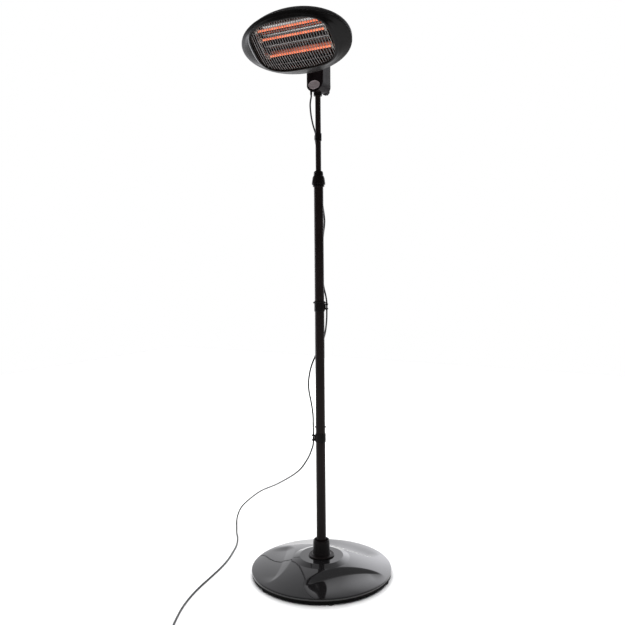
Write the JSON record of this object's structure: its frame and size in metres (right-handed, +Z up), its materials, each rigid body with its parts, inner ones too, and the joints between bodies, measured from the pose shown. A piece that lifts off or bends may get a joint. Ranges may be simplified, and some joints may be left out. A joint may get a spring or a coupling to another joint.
{
  "type": "outdoor heater",
  "caption": "Free-standing electric quartz patio heater: weighted round base, telescopic sectional pole, switch housing and an oval head that tilts and swivels, with a mains lead",
  "frame": {"origin": "under the middle of the round base, on the ground", "axes": "+Z up along the pole, -Y the way the heater head faces, +X along the heating tubes"},
  "size_m": [0.818, 1.0306, 1.966],
  "materials": {
    "black_gloss_plastic": "gloss",
    "black_coat": "satin",
    "black_coat_light": "satin",
    "black_plastic": "satin",
    "inner_black": "matte",
    "iron": "matte",
    "zinc": "satin",
    "rubber": "matte",
    "cord_rubber": "satin",
    "nylon": "satin",
    "badge_silver": "satin",
    "ceramic": "matte",
    "reflector": "polished",
    "grille_chrome": "polished",
    "quartz": "gloss",
    "glow": "matte",
    "brass": "polished"
  },
  "bodies": {
    "stand": {"base_cover": "black_gloss_plastic", "base_plate": "black_coat", "base_weight": "iron", "base_spacer": "zinc", "base_feet": "rubber", "base_bolt": "zinc", "base_nut": "zinc", "base_spigot": "zinc", "pole_socket": "black_plastic", "pole_lower": "black_coat", "pole_middle": "black_coat", "pole_upper": "black_coat", "joint_spigots": "zinc", "coupling_lower": "black_plastic", "coupling_upper": "black_plastic", "joint_screws": "black_coat", "cord_clip_lower": "black_plastic", "cord_clip_upper": "black_plastic", "clamp_body": "black_plastic", "guide_bush": "nylon", "cord_lower": "cord_rubber", "plug_body": "rubber", "plug_pins": "brass"},
    "grip_ring": {"clamp_ring": "black_plastic"},
    "mast": {"mast_tube": "black_coat", "mast_guide": "nylon", "mast_clip": "black_plastic", "cord_upper": "cord_rubber"},
    "housing": {"housing_socket": "black_coat_light", "housing_front": "black_plastic", "housing_rear": "black_plastic", "housing_screws": "zinc", "badge": "badge_silver", "strain_relief": "rubber", "housing_lead": "cord_rubber", "terminal_block": "ceramic", "tip_switch": "black_plastic", "switch_body": "black_plastic", "pivot_bolt": "zinc", "pivot_nut": "zinc", "pivot_spacer": "zinc", "tilt_washers": "rubber"},
    "selector": {"switch_knob": "black_plastic"},
    "lock_screw": {"lock_stem": "zinc"},
    "lock_handle": {"lock_knob": "black_plastic"},
    "head": {"tilt_yoke": "black_coat", "yoke_screws": "zinc", "head_shell": "black_coat_light", "bezel": "black_coat_light", "inner_tray": "inner_black", "reflector": "reflector", "tube_brackets": "zinc", "quartz_tubes": "quartz", "heating_coils": "glow", "tube_caps": "ceramic", "grille_frame": "black_coat", "grille_wires": "grille_chrome", "grille_bars": "grille_chrome", "thermal_cutout": "zinc"}
  },
  "joints": [
    {"name": "clamp_twist", "type": "hinge", "parent": "stand", "child": "grip_ring", "pos_m": [0, 0, 1.407], "axis": [0, 0, 1], "range_deg": [0, 60]},
    {"name": "mast_slide", "type": "slide", "parent": "stand", "child": "mast", "axis": [0, 0, 1], "range_m": [-0.1, 0.1], "deforming": ["cord_lower"]},
    {"name": "head_swivel", "type": "hinge", "parent": "mast", "child": "housing", "pos_m": [0, 0, 1.75], "axis": [0, 0, 1], "range_deg": [-45, 45], "deforming": ["cord_upper"]},
    {"name": "lock_travel", "type": "slide", "parent": "housing", "child": "lock_screw", "axis": [0, 1, 0], "range_m": [0, 0.002]},
    {"name": "lock_turn", "type": "hinge", "parent": "lock_screw", "child": "lock_handle", "pos_m": [0, 0.065, 1.74], "axis": [0, 1, 0], "range_deg": [0, 720]},
    {"name": "heat_select", "type": "hinge", "parent": "housing", "child": "selector", "pos_m": [0, 0.055, 1.806], "axis": [0, 1, 0], "range_deg": [-270, 0]},
    {"name": "head_tilt", "type": "hinge", "parent": "housing", "child": "head", "pos_m": [0, 0.012, 1.85], "axis": [1, 0, 0], "range_deg": [-33, 7]}
  ],
  "couplings": [
    {"joint": "lock_turn", "follows": "lock_travel", "rad_per_m": 6283.2}
  ]
}
